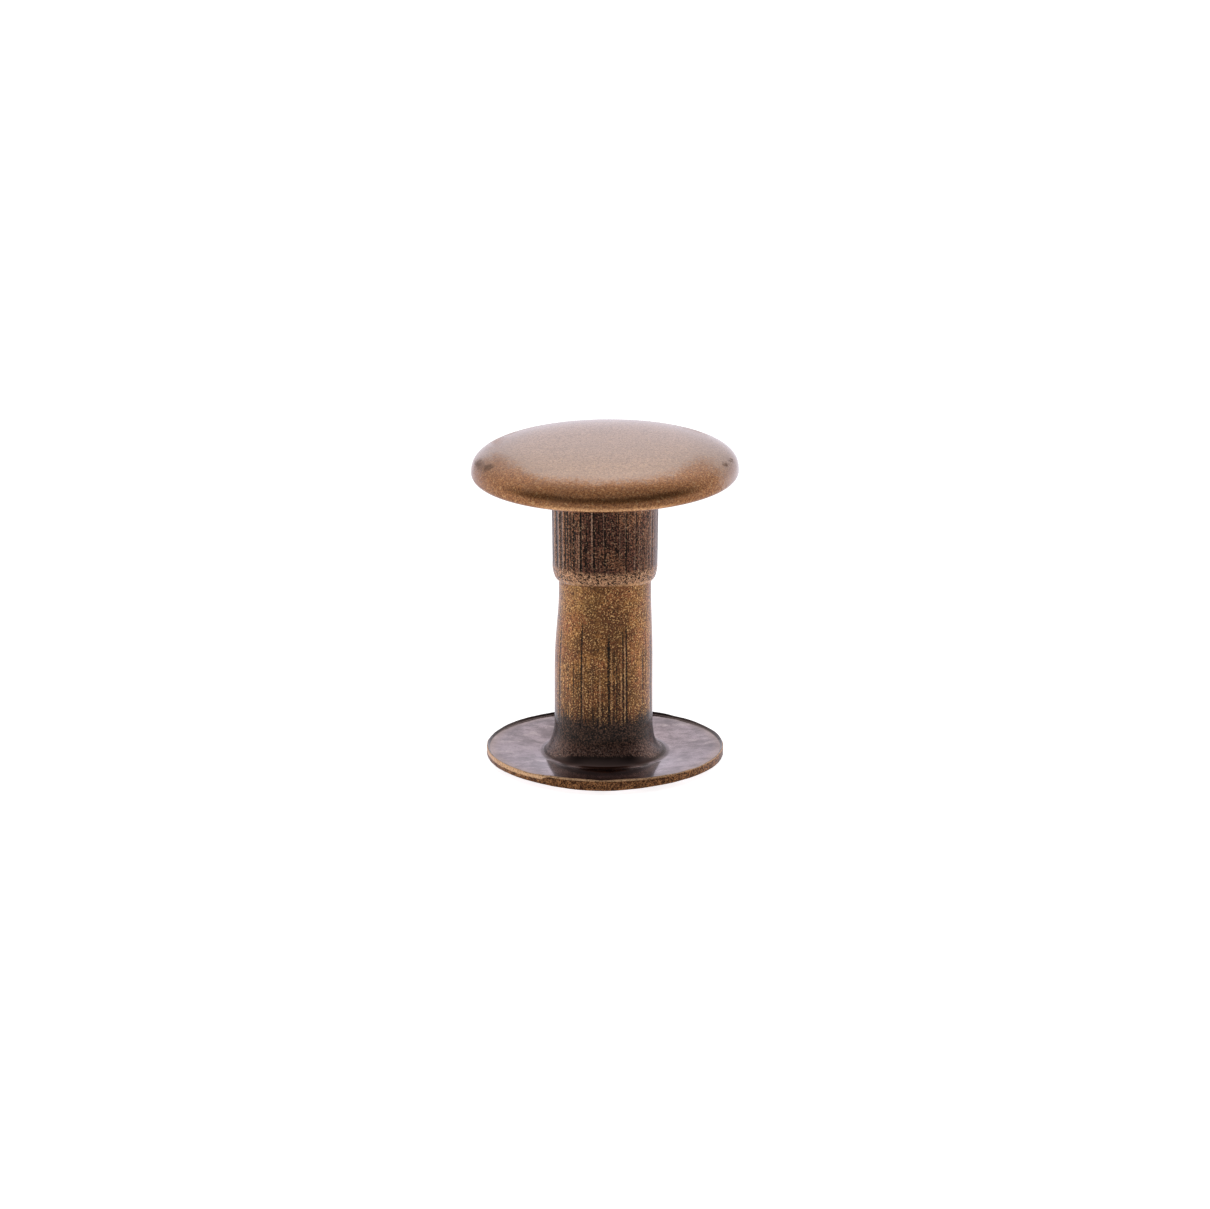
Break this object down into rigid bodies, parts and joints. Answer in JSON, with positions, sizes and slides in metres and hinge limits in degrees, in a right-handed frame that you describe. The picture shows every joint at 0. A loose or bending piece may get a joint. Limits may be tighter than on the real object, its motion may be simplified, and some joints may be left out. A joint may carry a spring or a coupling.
{
  "type": "capped tubular rivet",
  "caption": "Unset leather rivet: a hollow flanged post with a domed cap whose drawn socket is pushed over the post's neck.",
  "frame": {"origin": "centre of the flat seat ring under the foot of the post", "axes": "+Z along the post's axis, from the foot towards the cap"},
  "size_m": [0.009, 0.009, 0.0111],
  "materials": {
    "cap_brass": "antique brass, satin, finely grained",
    "socket_brass": "antique brass, dark, drawn along the axis",
    "post_brass": "antique brass, brown on the shank, grey and polished on the foot"
  },
  "bodies": {
    "post": {"post": "post_brass"},
    "cap_half": {"cap_shell": "cap_brass", "socket": "socket_brass"}
  },
  "joints": [
    {"name": "cap_lift", "type": "slide", "parent": "post", "child": "cap_half", "axis": [0, 0, 1], "range_m": [0, 0.01]}
  ]
}
